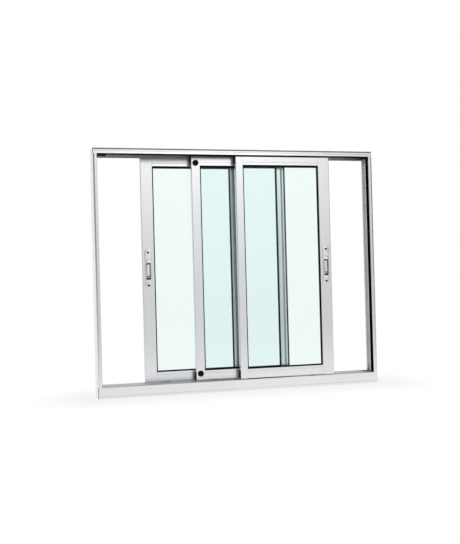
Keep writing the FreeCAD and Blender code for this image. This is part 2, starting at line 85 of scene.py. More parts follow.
class WindowFinish(bpy.types.PropertyGroup):
    """Colours of the window's materials."""

    aluminium: FloatVectorProperty(
        name="Aluminium", description="Silver anodised bars", subtype="COLOR", default=linear("#EBECEE"))
    glass: FloatVectorProperty(
        name="Glass", description="Tint of each face of a pane", subtype="COLOR", default=linear("#F0FAF9"))
    rubber: FloatVectorProperty(
        name="Rubber", description="Gaskets, pads and buttons", subtype="COLOR", default=linear("#0D0C0D"))
    pile: FloatVectorProperty(
        name="Pile", description="Black brush seals", subtype="COLOR", default=linear("#141210"))
    grey_pile: FloatVectorProperty(
        name="Grey pile", description="Brush seals of the sashes", subtype="COLOR", default=linear("#E2E2DA"))
    nylon: FloatVectorProperty(
        name="Nylon", description="Rollers and guide blocks", subtype="COLOR", default=linear("#B9B8B2"))
    latch: FloatVectorProperty(
        name="Latch", description="Cast plate and thumb piece", subtype="COLOR", default=linear("#EDEEF0"))
    brass: FloatVectorProperty(
        name="Brass", description="Latch tongues", subtype="COLOR", default=linear("#C9BDA6"))
    steel: FloatVectorProperty(
        name="Steel", description="Screws", subtype="COLOR", default=linear("#1E1C1C"))
    floor: FloatVectorProperty(
        name="Floor", description="Pale studio floor", subtype="COLOR", default=linear("#F4F4F4"))


class FittingSizes(bpy.types.PropertyGroup):
    """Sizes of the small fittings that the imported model's boxes do not give."""

    body_length: FloatProperty(
        name="Latch body length", description="Raised part of a latch plate", default=89 * MM, unit="LENGTH")
    body_width: FloatProperty(
        name="Latch body width", description="Raised part of a latch plate", default=22 * MM, unit="LENGTH")
    body_drop: FloatProperty(
        name="Latch body drop", description="From the plate's middle down", default=6.5 * MM, unit="LENGTH")
    body_step: FloatProperty(
        name="Latch body step", description="Rise of the body on the plate", default=1 * MM, unit="LENGTH")
    pocket_length: FloatProperty(
        name="Pocket length", description="Opening for the thumb piece", default=68 * MM, unit="LENGTH")
    pocket_width: FloatProperty(
        name="Pocket width", description="Opening for the thumb piece", default=17 * MM, unit="LENGTH")
    pocket_drop: FloatProperty(
        name="Pocket drop", description="From the plate's middle down", default=10 * MM, unit="LENGTH")
    soft_rim: FloatProperty(
        name="Soft rim", description="Rounding of cast edges", default=0.9 * MM, unit="LENGTH")
    crest_start: FloatProperty(
        name="Crest start", description="From the thumb piece's left edge", default=6.2 * MM, unit="LENGTH")
    crest_end: FloatProperty(
        name="Crest end", description="From the thumb piece's left edge", default=12 * MM, unit="LENGTH")
    thumb_slope: FloatProperty(
        name="Thumb slope", description="Fall from crest to right edge", default=2.2 * MM, unit="LENGTH")
    thumb_fall: FloatProperty(
        name="Thumb fall", description="Fall from crest to left edge", default=0.45 * MM, unit="LENGTH")
    rib_pitch: FloatProperty(
        name="Rib pitch", description="Spacing of a thumb piece's ribs", default=5 * MM, unit="LENGTH")
    cross_width: FloatProperty(
        name="Screw recess width", description="Slots of a screw's cross", default=0.9 * MM, unit="LENGTH")
    low_block: FloatProperty(
        name="Lower dust block", description="Height by a bottom rail", default=34.5 * MM, unit="LENGTH")
    high_block: FloatProperty(
        name="Upper dust block", description="Height by a top rail", default=46.5 * MM, unit="LENGTH")
    tuft_pitch: FloatProperty(
        name="Tuft pitch", description="Spacing of tufts along a brush seal", default=2.4 * MM, unit="LENGTH")


def add(tree, kind, values=None, links=None, **settings):
    """Add a shader node with its settings, socket values and links."""
    node = tree.nodes.new(kind)
    for name, value in settings.items():
        setattr(node, name, value)
    for socket, value in (values or {}).items():
        node.inputs[socket].default_value = value
    for socket, source in (links or {}).items():
        tree.links.new(source, node.inputs[socket])
    return node


def new_material(name):
    """An empty material and its output."""
    material = bpy.data.materials.new(name)
    material.use_nodes = True
    material.node_tree.nodes.clear()
    return material, add(material.node_tree, "ShaderNodeOutputMaterial")


def tone(colour, share):
    """A colour made lighter or darker, with an alpha of one."""
    return tuple(min(1.0, c * share) for c in colour) + (1.0,)


def anodised_aluminium(name, along):
    """Extruded and anodised: satin silver, with faint die lines along the bar and slow changes of tone."""
    material, output = new_material(name)
    tree = material.node_tree
    silver = bpy.context.scene.window_finish.aluminium
    place = add(tree, "ShaderNodeTexCoord").outputs["Object"]
    # Die lines are about 0.4 mm apart; drawn 3 mm apart so that they show
    stretch = Vector((1, 1, 1))
    stretch[along] = 0.006
    drawn = add(tree, "ShaderNodeMapping", {"Scale": stretch}, {"Vector": place}).outputs["Vector"]
    lines = add(tree, "ShaderNodeTexNoise", {"Scale": 1 / (3 * MM), "Detail": 3}, {"Vector": drawn})
    cloud = add(tree, "ShaderNodeTexNoise", {"Scale": 1 / (180 * MM), "Detail": 2}, {"Vector": place})
    both = add(
        tree, "ShaderNodeMix", {"Factor": 0.35}, {"A": lines.outputs["Fac"], "B": cloud.outputs["Fac"]})
    tones = add(tree, "ShaderNodeValToRGB", None, {"Fac": both.outputs["Result"]})
    tones.color_ramp.elements[0].position = 0.3
    tones.color_ramp.elements[0].color = tone(silver, 0.95)
    tones.color_ramp.elements[1].position = 0.7
    tones.color_ramp.elements[1].color = tone(silver, 1.04)
    satin = add(
        tree, "ShaderNodeMapRange", {"To Min": 0.27, "To Max": 0.33}, {"Value": both.outputs["Result"]})
    relief = add(
        tree, "ShaderNodeBump", {"Strength": 0.06, "Distance": 0.1 * MM}, {"Height": lines.outputs["Fac"]})
    shader = add(
        tree, "ShaderNodeBsdfPrincipled", {"Metallic": 1.0},
        {"Base Color": tones.outputs["Color"], "Roughness": satin.outputs["Result"],
         "Normal": relief.outputs["Normal"]})
    tree.links.new(shader.outputs["BSDF"], output.inputs["Surface"])
    return material


def float_glass():
    """Clear float glass: nearly colourless with a faint green tint, and a trace of dust in its gloss."""
    material, output = new_material("float_glass")
    tree = material.node_tree
    tint = bpy.context.scene.window_finish.glass
    place = add(tree, "ShaderNodeTexCoord").outputs["Object"]
    dust = add(tree, "ShaderNodeTexNoise", {"Scale": 1 / (60 * MM), "Detail": 3}, {"Vector": place})
    gloss = add(tree, "ShaderNodeMapRange", {"To Min": 0.0, "To Max": 0.02}, {"Value": dust.outputs["Fac"]})
    pane = add(
        tree, "ShaderNodeBsdfPrincipled",
        {"Base Color": tone(tint, 1.0), "IOR": 1.52, "Transmission Weight": 1.0,
         "Specular Tint": (0.3, 0.3, 0.3, 1)},
        {"Roughness": gloss.outputs["Result"]})
    through = add(tree, "ShaderNodeBsdfTransparent", {"Color": tone(tint, 1.0)})
    path = add(tree, "ShaderNodeLightPath")
    mix = add(tree, "ShaderNodeMixShader", None, {"Fac": path.outputs["Is Shadow Ray"]})
    tree.links.new(pane.outputs["BSDF"], mix.inputs[1])
    tree.links.new(through.outputs["BSDF"], mix.inputs[2])
    tree.links.new(mix.outputs["Shader"], output.inputs["Surface"])
    return material


def grained(name, colour, grain_mm, rough, metallic=0.0, contrast=0.12, gleam=0.5):
    """A surface with a fine even grain in tone, gloss and relief."""
    material, output = new_material(name)
    tree = material.node_tree
    place = add(tree, "ShaderNodeTexCoord").outputs["Object"]
    grain = add(tree, "ShaderNodeTexNoise", {"Scale": 1 / (grain_mm * MM), "Detail": 4}, {"Vector": place})
    tones = add(tree, "ShaderNodeValToRGB", None, {"Fac": grain.outputs["Fac"]})
    tones.color_ramp.elements[0].position = 0.3
    tones.color_ramp.elements[0].color = tone(colour, 1 - contrast)
    tones.color_ramp.elements[1].position = 0.7
    tones.color_ramp.elements[1].color = tone(colour, 1 + contrast)
    gloss = add(
        tree, "ShaderNodeMapRange", {"To Min": rough - 0.06, "To Max": rough + 0.06},
        {"Value": grain.outputs["Fac"]})
    relief = add(
        tree, "ShaderNodeBump", {"Strength": 0.3, "Distance": 0.05 * MM}, {"Height": grain.outputs["Fac"]})
    shader = add(
        tree, "ShaderNodeBsdfPrincipled", {"Metallic": metallic, "Specular IOR Level": gleam},
        {"Base Color": tones.outputs["Color"], "Roughness": gloss.outputs["Result"],
         "Normal": relief.outputs["Normal"]})
    tree.links.new(shader.outputs["BSDF"], output.inputs["Surface"])
    return material


def epdm_rubber():
    """Extruded and moulded EPDM: near black and satin, with a fine even skin."""
    return grained("epdm_rubber", bpy.context.scene.window_finish.rubber, 2.0, 0.6, gleam=0.2)


def pile_fibre():
    """Woven polypropylene pile: brown-black and dull, mottled where tufts part."""
    return grained("pile_fibre", bpy.context.scene.window_finish.pile, 1.2, 0.9, contrast=0.3, gleam=0.1)


def grey_pile_fibre():
    """Woven grey pile: dull and soft, mottled where tufts part."""
    grey = bpy.context.scene.window_finish.grey_pile
    return grained("grey_pile_fibre", grey, 1.2, 0.9, contrast=0.2, gleam=0.1)


def moulded_nylon():
    """Injection-moulded nylon: warm grey, half matt."""
    return grained("moulded_nylon", bpy.context.scene.window_finish.nylon, 1.5, 0.45)


def coated_casting():
    """Die-cast metal under a satin silver coat: smoother than the bars, with a soft orange-peel skin."""
    return grained("coated_casting", bpy.context.scene.window_finish.latch, 3.0, 0.3, 1.0, contrast=0.04)


def rolled_brass():
    """Rolled brass gone dull: brown-yellow, with slow stains."""
    return grained("rolled_brass", bpy.context.scene.window_finish.brass, 6.0, 0.4, 1.0, contrast=0.25)


def blackened_steel():
    """Oiled black-oxide steel of the screws: nearly black with a soft gleam on its rims."""
    return grained("blackened_steel", bpy.context.scene.window_finish.steel, 1.0, 0.4, 1.0)


def finish_of(maker):
    """A material by the function that makes it, made on first use."""
    return bpy.data.materials.get(maker.__name__) or maker()


def finish_node(name, material):
    """Give a CAD node its material."""
    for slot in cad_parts[name].material_slots:
        slot.material = material


class FinishBars(bpy.types.Operator):
    """Give the bars, glass, gaskets and running gear their materials"""

    bl_idname = "sliding_window.finish_bars"
    bl_label = "Finish bars and glass"

    def execute(self, context):
        across = anodised_aluminium("anodised_aluminium_across", X)
        upright = anodised_aluminium("anodised_aluminium_upright", Z)
        for name in X_BARS:
            finish_node(name, across)
        for name in Z_BARS:
            finish_node(name, upright)
        for sash in SASHES:
            finish_node(f"{sash}_glass", finish_of(float_glass))
            finish_node(f"{sash}_gasket", finish_of(epdm_rubber))
            finish_node(f"{sash}_rollers", finish_of(moulded_nylon))
            finish_node(f"{sash}_guides", finish_of(moulded_nylon))
        # The corner pads' black rubber is partly painted shade: at the top of the left jamb it stands in for
        # the shade under the head
        finish_node("corner_pads", finish_of(epdm_rubber))
        return {"FINISHED"}


def alone(piece):
    """Make a piece the only selected and the active object."""
    bpy.ops.object.select_all(action="DESELECT")
    piece.select_set(True)
    bpy.context.view_layer.objects.active = piece


def block(name, low, high):
    """A box between two corners, with its place in its mesh."""
    bpy.ops.object.select_all(action="DESELECT")
    bpy.ops.mesh.primitive_cube_add(size=1, location=(low + high) / 2, scale=high - low)
    bpy.ops.object.transform_apply()
    bpy.context.object.name = name
    return bpy.context.object


def drum(name, centre, radius, near, far, sides):
    """A cylinder along Y between two depths, with its place in its mesh."""
    bpy.ops.object.select_all(action="DESELECT")
    bpy.ops.mesh.primitive_cylinder_add(
        vertices=sides, radius=radius, depth=far - near, rotation=(math.pi / 2, 0, 0),
        location=(centre.x, (near + far) / 2, centre.z))
    bpy.ops.object.transform_apply()
    bpy.context.object.name = name
    return bpy.context.object


def edit(piece, mode, test):
    """Open a piece in edit mode with only the wanted vertices, edges or faces selected."""
    alone(piece)
    bpy.ops.object.mode_set(mode="EDIT")
    bpy.ops.mesh.select_mode(type=mode)
    bpy.ops.mesh.select_all(action="DESELECT")
    mesh = bmesh.from_edit_mesh(piece.data)
    for item in {"VERT": mesh.verts, "EDGE": mesh.edges, "FACE": mesh.faces}[mode]:
        if test(item):
            item.select_set(True)
    bmesh.update_edit_mesh(piece.data)


def close():
    """Leave edit mode."""
    bpy.ops.object.mode_set(mode="OBJECT")


def along_y(edge):
    """True for an edge that runs from front to back."""
    a, b = (corner.co for corner in edge.verts)
    return abs(a.y - b.y) > 0.9 * (a - b).length


def facing(axis, sign):
    """A test for faces that look along an axis."""
    return lambda face: face.normal[axis] * sign > 0.9


def carve(piece, tool, operation="DIFFERENCE"):
    """Take a tool shape out of a piece, or join it on, and drop the tool."""
    change = piece.modifiers.new("carve", "BOOLEAN")
    change.operation = operation
    change.object = tool
    alone(piece)
    bpy.ops.object.modifier_apply(modifier=change.name)
    bpy.data.objects.remove(tool)


def soften(piece, width, steps):
    """Round the sharp edges of a piece and smooth what lies between them."""
    change = piece.modifiers.new("soften", "BEVEL")
    change.width = width
    change.segments = steps
    change.limit_method = "ANGLE"
    alone(piece)
    bpy.ops.object.modifier_apply(modifier=change.name)
    bpy.ops.object.shade_smooth_by_angle(angle=math.radians(40))


def repeat(piece, step, count):
    """A row of copies of a piece, as one mesh."""
    change = piece.modifiers.new("row", "ARRAY")
    change.count = count
    change.use_relative_offset = False
    change.use_constant_offset = True
    change.constant_offset_displace = step
    alone(piece)
    bpy.ops.object.modifier_apply(modifier=change.name)


def join(piece, *others):
    """Make several shapes one piece."""
    alone(piece)
    for other in others:
        other.select_set(True)
    bpy.ops.object.join()
    return piece


def copy_to(piece, name, shift):
    """A copy of a piece with its own mesh, its new place in its mesh."""
    alone(piece)
    bpy.ops.object.duplicate()
    bpy.ops.transform.translate(value=shift)
    bpy.ops.object.transform_apply()
    bpy.context.object.name = name
    return bpy.context.object


def seat(piece, body, slot, material, *nodes):
    """Finish a piece and let it ride on a body, in place of the CAD nodes that it stands for."""
    piece.data.materials.clear()
    piece.data.materials.append(material)
    if nodes:
        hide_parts(*nodes)
    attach(piece, body)


def node_box(node):
    """The lowest and highest corner of a CAD node as vectors."""
    low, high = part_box(node)
    return Vector(low), Vector(high)


def rounded_plate(name, low, high, corner, rim):
    """An upright plate with round corners and a soft rim at its front."""
    piece = block(name, low, high)
    edit(piece, "EDGE", along_y)
    bpy.ops.mesh.bevel(offset=corner, segments=8, affect="EDGES")
    close()
    edit(piece, "EDGE", lambda edge: max(end.co.y for end in edge.verts) < low.y + HAIR)
    bpy.ops.mesh.bevel(offset=rim, segments=3, affect="EDGES")
    close()
    return piece


def panel(middle, width, length, near, far):
    """The corners of an upright plate round a middle point."""
    half = Vector((width / 2, 0, length / 2))
    low, high = middle - half, middle + half
    low.y, high.y = near, far
    return low, high


def raised_body(sizes, middle, near, far):
    """The raised part of a latch plate, which falls away in two steps at each end."""
    end_falls = ((4 * MM, 0.25 * MM), (2 * MM, 0.6 * MM))
    front_depth = 1.5 * MM
    drop = Vector((0, 0, sizes.body_drop))
    foot, top = panel(middle - drop, sizes.body_width, sizes.body_length, near, far)
    body = rounded_plate("body", foot, top, 6 * MM, sizes.soft_rim)
    for inset, fall in end_falls:
        for end, sign in ((foot.z, 1), (top.z, -1)):
            level = end + sign * inset
            edit(body, "FACE", lambda face: True)
            bpy.ops.mesh.bisect(plane_co=(0, 0, level), plane_no=(0, 0, 1))
            close()
            edit(body, "VERT", lambda corner: (
                corner.co.y < near + front_depth and (level - corner.co.z) * sign > HAIR))
            bpy.ops.transform.translate(value=(0, fall, 0))
            close()
    return body


def flared_pocket(sizes, centre, near, far):
    """The shape of a latch plate's opening, with round corners and a rim that flares to the front."""
    flare = 0.6 * MM
    low, high = panel(centre, sizes.pocket_width, sizes.pocket_length, near + flare, far + flare)
    pocket = block("pocket", low, high)
    edit(pocket, "EDGE", along_y)
    bpy.ops.mesh.bevel(offset=2.5 * MM, segments=5, affect="EDGES")
    close()
    edit(pocket, "FACE", facing(Y, -1))
    bpy.ops.mesh.extrude_region_move(TRANSFORM_OT_translate={"value": (0, -2 * flare, 0)})
    wider = (1 + 4 * flare / sizes.pocket_width, 1, 1 + 4 * flare / sizes.pocket_length)
    bpy.ops.transform.resize(value=wider, center_override=centre)
    close()
    return pocket


def pocket_backing(sizes, centre, far):
    """A thin black plate at the back of a latch's pocket; its black is painted shade, standing in for the
    shade deep in the pocket.
    """
    play = 0.2 * MM
    low, high = panel(
        centre, sizes.pocket_width - play, sizes.pocket_length - play, far - 0.25 * MM, far - 0.05 * MM)
    return rounded_plate("left_pocket_shade", low, high, 2.4 * MM, 0.06 * MM)


class AddLatchPlates(bpy.types.Operator):
    """Model the latch plates with their raised bodies, pockets and screw seats, and black plates that paint
    shade into the pockets
    """

    bl_idname = "sliding_window.add_latch_plates"
    bl_label = "Latch plates"

    def execute(self, context):
        sizes = context.scene.fitting_sizes
        dish_radius = 4.9 * MM
        dish_depth = sizes.body_step + 0.5 * MM
        low, high = node_box("left_latch_plate")
        middle = (low + high) / 2
        step = Vector((0, sizes.body_step, 0))
        plate = rounded_plate("left_plate", low + step, high, 13 * MM, sizes.soft_rim)
        carve(plate, raised_body(sizes, middle, low.y, high.y), "UNION")
        centre = middle - Vector((0, 0, sizes.pocket_drop))
        carve(plate, flared_pocket(sizes, centre, low.y, high.y))
        screws_low, screws_high = node_box("left_latch_screws")
        for level in (screws_low.z, screws_high.z):
            inward = (screws_high.x - screws_low.x) / 2 * (1 if level < middle.z else -1)
            seat_middle = Vector((middle.x, 0, level + inward))
            carve(plate, drum("dish", seat_middle, dish_radius, low.y, low.y + dish_depth, 40))
        alone(plate)
        bpy.ops.object.shade_smooth_by_angle(angle=math.radians(35))
        # Black plate at the back of the pocket: painted shade for the deep pocket
        shade_plate = pocket_backing(sizes, centre, high.y)
        shift = node_box("right_latch_plate")[0] - low
        plates = {"left": plate, "right": copy_to(plate, "right_plate", shift)}
        shade_plates = {"left": shade_plate, "right": copy_to(shade_plate, "right_pocket_shade", shift)}
        for side in SIDES:
            seat(plates[side], f"{side}_sash", "cast_latch_metal", finish_of(coated_casting),
                 f"{side}_latch_plate")
            # The pocket plates' black rubber is painted shade
            seat(shade_plates[side], f"{side}_sash", "black_rubber", finish_of(epdm_rubber))
        return {"FINISHED"}


def ribbed_thumb(sizes):
    """The left thumb piece: a crest along it that falls to both sides, with grip ribs across."""
    rib_count = 9
    rib_rise = 0.5 * MM
    rib_depth = 0.42 * MM
    crest_tilt = 0.3 * MM
    low, high = node_box("left_latch_thumb")
    middle = (low + high) / 2
    near = low.y + 0.3 * MM
    thumb = block("left_thumb", low, high)
    crest = (low.x + sizes.crest_start, low.x + sizes.crest_end)
    ribs = [middle.z + (rib - rib_count // 2) * sizes.rib_pitch for rib in range(rib_count)]
    cuts = [((x, 0, 0), (1, 0, 0)) for x in crest]
    cuts += [((0, 0, level + rise), (0, 0, 1)) for level in ribs for rise in (0, rib_rise)]
    for point, normal in cuts:
        edit(thumb, "FACE", lambda face: True)
        bpy.ops.mesh.bisect(plane_co=point, plane_no=normal)
        close()
    for side, fall in ((low.x, sizes.thumb_fall), (high.x, sizes.thumb_slope), (crest[1], crest_tilt)):
        edit(thumb, "VERT", lambda corner: corner.co.y < near and abs(corner.co.x - side) < HAIR)
        bpy.ops.transform.translate(value=(0, fall, 0))
        close()
    edit(thumb, "VERT", lambda corner: corner.co.y < near and any(
        abs(corner.co.z - level) < HAIR for level in ribs[1:]))
    bpy.ops.transform.translate(value=(0, rib_depth, 0))
    close()
    soften(thumb, 0.12 * MM, 2)
    return thumb


def slotted_tongue():
    """The left tongue: a brass plate with round lower corners and a slot across."""
    slot_width = 11 * MM
    slot_height = 2.4 * MM
    slot_rise = 7 * MM
    low, high = node_box("left_latch_tongue")
    tongue = block("left_tongue", low, high)
    edit(tongue, "EDGE", lambda edge: along_y(edge) and edge.verts[0].co.z < low.z + MM)
    bpy.ops.mesh.bevel(offset=2 * MM, segments=4, affect="EDGES")
    close()
    slot_middle = Vector(((low.x + high.x) / 2, 0, low.z + slot_rise))
    slot_low, slot_high = panel(slot_middle, slot_width, slot_height, low.y - MM, high.y + MM)
    carve(tongue, block("slot", slot_low, slot_high))
    soften(tongue, 0.25 * MM, 2)
    return tongue


class AddThumbPieces(bpy.types.Operator):
    """Model the thumb pieces with a ridge and grip ribs, and the slotted brass tongues behind them"""

    bl_idname = "sliding_window.add_thumb_pieces"
    bl_label = "Thumb pieces"

    def execute(self, context):
        thumb = ribbed_thumb(context.scene.fitting_sizes)
        tongue = slotted_tongue()
        shift = node_box("right_latch_thumb")[0] - node_box("left_latch_thumb")[0]
        thumbs = {"left": thumb, "right": copy_to(thumb, "right_thumb", shift)}
        tongues = {"left": tongue, "right": copy_to(tongue, "right_tongue", shift)}
        for side in SIDES:
            seat(thumbs[side], f"{side}_latch", "cast_latch_metal", finish_of(coated_casting),
                 f"{side}_latch_thumb")
            seat(tongues[side], f"{side}_latch", "brass", finish_of(rolled_brass), f"{side}_latch_tongue")
        return {"FINISHED"}


def screw_head(name, centre, radius, near, far, cross):
    """A round screw head with a domed front and a cross recess."""
    ring = radius * 0.3
    arm = 0.55 * radius
    recess = 0.6 * MM
    head = drum(name, centre, radius, near, far, 32)
    edit(head, "FACE", facing(Y, -1))
    bpy.ops.mesh.inset(thickness=ring)
    bpy.ops.mesh.inset(thickness=ring)
    close()
    for share, fall in ((1.0, 0.45 * MM), (0.7, 0.12 * MM)):
        edit(head, "EDGE", lambda edge: all(
            abs((corner.co - centre).xz.length - radius * share) < HAIR and corner.co.y < near + HAIR
            for corner in edge.verts))
        bpy.ops.transform.translate(value=(0, fall, 0))
        close()
    for long, short in ((arm, cross / 2), (cross / 2, arm)):
        slot = block("slot", Vector((centre.x - long, near - MM, centre.z - short)),
                     Vector((centre.x + long, near + recess, centre.z + short)))
        carve(head, slot)
    alone(head)
    bpy.ops.object.shade_smooth_by_angle(angle=math.radians(35))
    return head


class AddScrews(bpy.types.Operator):
    """Model the latch screws, with domed heads and cross recesses"""

    bl_idname = "sliding_window.add_screws"
    bl_label = "Latch screws"

    def execute(self, context):
        cross = context.scene.fitting_sizes.cross_width
        low, high = node_box("left_latch_screws")
        radius = (high.x - low.x) / 2
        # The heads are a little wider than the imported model's, to fit the photo
        head_radius = 1.12 * radius
        centre = Vector(((low.x + high.x) / 2, 0, low.z + radius))
        lower = screw_head("left_screws", centre, head_radius, low.y, high.y, cross)
        upper = copy_to(lower, "upper_screw", (0, 0, high.z - low.z - 2 * radius))
        pair = join(lower, upper)
        shift = node_box("right_latch_screws")[0] - low
        pairs = {"left": pair, "right": copy_to(pair, "right_screws", shift)}
        for side in SIDES:
            seat(pairs[side], f"{side}_sash", "steel_screw", finish_of(blackened_steel),
                 f"{side}_latch_screws")
        return {"FINISHED"}


class AddButtons(bpy.types.Operator):
    """Model the domed rubber buttons of the middle sash and the screws sunk in them"""

    bl_idname = "sliding_window.add_buttons"
    bl_label = "Rubber buttons"

    def execute(self, context):
        low, high = node_box("middle_sash_buttons")
        radius = (high.x - low.x) / 2
        centre = Vector(((low.x + high.x) / 2, 0, low.z + radius))
        # Steps inwards and outwards in millimetres, over the dome and down into the screw's hole
        hole_depth = 1.6
        dome = ((0.9, 1.1), (1.2, 0.9), (1.5, 0.6), (1.4, 0.3), (0.7, 0.1))
        sunk = ((0.5, 0.0), (0.4, -hole_depth))
        screw_radius = 3.4 * MM
        foot = low.y + sum(depth for _, depth in dome) * MM
        button = drum("buttons", centre, radius, foot, high.y, 48)
        edit(button, "FACE", facing(Y, -1))
        for inward, outward in dome + sunk:
            bpy.ops.mesh.inset(thickness=inward * MM, depth=outward * MM)
        close()
        alone(button)
        bpy.ops.object.shade_smooth_by_angle(angle=math.radians(35))
        floor = low.y + hole_depth * MM
        cross = context.scene.fitting_sizes.cross_width
        screw = screw_head("button_screws", centre, screw_radius, floor - MM, floor, cross)
        rise = (0, 0, high.z - low.z - 2 * radius)
        buttons = join(button, copy_to(button, "upper_button", rise))
        screws = join(screw, copy_to(screw, "upper_button_screw", rise))
        seat(buttons, "middle_sash", "black_rubber", finish_of(epdm_rubber), "middle_sash_buttons")
        seat(screws, "middle_sash", "steel_screw", finish_of(blackened_steel))
        return {"FINISHED"}


class AddDustBlocks(bpy.types.Operator):
    """Model the ribbed rubber dust blocks on the left edges of the middle and right sash; their black by the
    rails also paints in the shade that these sashes cast on the rails behind them
    """

    bl_idname = "sliding_window.add_dust_blocks"
    bl_label = "Dust blocks"

    def execute(self, context):
        sizes = context.scene.fitting_sizes
        groove_start = 2.5 * MM
        groove_end = 4 * MM
        groove_pitch = 4 * MM
        groove_count = 3
        for sash in ("middle_sash", "right_sash"):
            node = f"{sash}_dust_blocks"
            low, high = node_box(node)
            pair = []
            for foot, tall in ((low.z, sizes.low_block), (high.z - sizes.high_block, sizes.high_block)):
                rubber = block(node, Vector((low.x, low.y, foot)), Vector((high.x, high.y, foot + tall)))
                groove = block("groove", Vector((low.x - MM, low.y + groove_start, foot - MM)),
                               Vector((low.x + MM, low.y + groove_end, foot + tall + MM)))
                repeat(groove, (0, groove_pitch, 0), groove_count)
                carve(rubber, groove)
                soften(rubber, 0.3 * MM, 2)
                pair.append(rubber)
            # Real dust blocks, whose black rubber also stands in for the shade of the stiles on the rails
            # behind
            seat(join(*pair), sash, "black_rubber", finish_of(epdm_rubber), node)
        return {"FINISHED"}


def brush(node, along, out, sign, base, rows):
    """A brush seal in a node's box: a carrier strip with rows of tapered tufts that stand out from it."""
    pitch = bpy.context.scene.fitting_sizes.tuft_pitch
    # Shares of a tuft's own cell, and of its foot at its tip
    margin_across, fill_across, fill_along = 0.03, 0.94, 0.96
    tip_along, tip_across = 0.75, 0.85
    across = X + Y + Z - along - out
    low, high = node_box(node)
    foot_low, foot_high, tuft_low, tuft_high = low.copy(), high.copy(), low.copy(), high.copy()
    if sign > 0:
        foot_high[out] = tuft_low[out] = low[out] + base
    else:
        foot_low[out] = tuft_high[out] = high[out] - base
    strip = block(node + "_strip", foot_low, foot_high)
    soften(strip, 0.15 * MM, 1)
    width = (high[across] - low[across]) / rows
    tuft_low[across] += margin_across * width
    tuft_high[across] = tuft_low[across] + fill_across * width
    tuft_high[along] = low[along] + fill_along * pitch
    tuft = block(node + "_tufts", tuft_low, tuft_high)
    edit(tuft, "FACE", facing(out, sign))
    taper = Vector((1, 1, 1))
    taper[along] = tip_along
    taper[across] = tip_across
    bpy.ops.transform.resize(value=taper, center_override=(tuft_low + tuft_high) / 2)
    close()
    step = Vector()
    step[across] = width
    repeat(tuft, step, rows)
    step = Vector()
    step[along] = pitch
    repeat(tuft, step, int((high[along] - low[along]) / pitch))
    return join(strip, tuft)


class AddBrushSeals(bpy.types.Operator):
    """Model the brush seals of the head, the jambs and the sashes, tuft by tuft"""

    bl_idname = "sliding_window.add_brush_seals"
    bl_label = "Brush seals"

    def execute(self, context):
        pile = finish_of(pile_fibre)
        head = brush("head_seal", X, Z, -1, base=10 * MM, rows=1)
        seat(head, "frame", "black_pile", pile, "head_seal")
        for side in SIDES:
            # Real pile seals, whose black also stands in for the shade deep in the jambs' channels
            seal = f"{side}_jamb_seal"
            seat(brush(seal, Z, Y, -1, base=0.4 * MM, rows=4), "frame", "black_pile", pile, seal)
        # Real pile seal, whose black also stands in for the shade in the gap beside the middle sash's right
        # edge
        edge = "middle_sash_edge_seal"
        seat(brush(edge, Z, X, 1, base=4 * MM, rows=3), "middle_sash", "black_pile", pile, edge)
        for sash, base, rows in (("left_sash", 0.5 * MM, 3), ("middle_sash", 1.2 * MM, 2)):
            seal = f"{sash}_interlock_seal"
            strip = brush(seal, Z, Y, -1, base, rows)
            seat(strip, sash, "grey_pile", finish_of(grey_pile_fibre), seal)
        return {"FINISHED"}


def shown_rays(tree, behind):
    """One where a ray brings what lies behind the window to the eye, straight, mirrored or through glass."""
    path = add(tree, "ShaderNodeLightPath")
    bent = add(
        tree, "ShaderNodeMath", None,
        {0: path.outputs["Is Glossy Ray"], 1: path.outputs["Is Transmission Ray"]}, operation="MAXIMUM")
    rear = add(tree, "ShaderNodeMath", None, {0: bent.outputs["Value"], 1: behind}, operation="MULTIPLY")
    return add(tree, "ShaderNodeMath", None, {0: path.outputs["Is Camera Ray"], 1: rear.outputs["Value"]},
               operation="MAXIMUM").outputs["Value"]


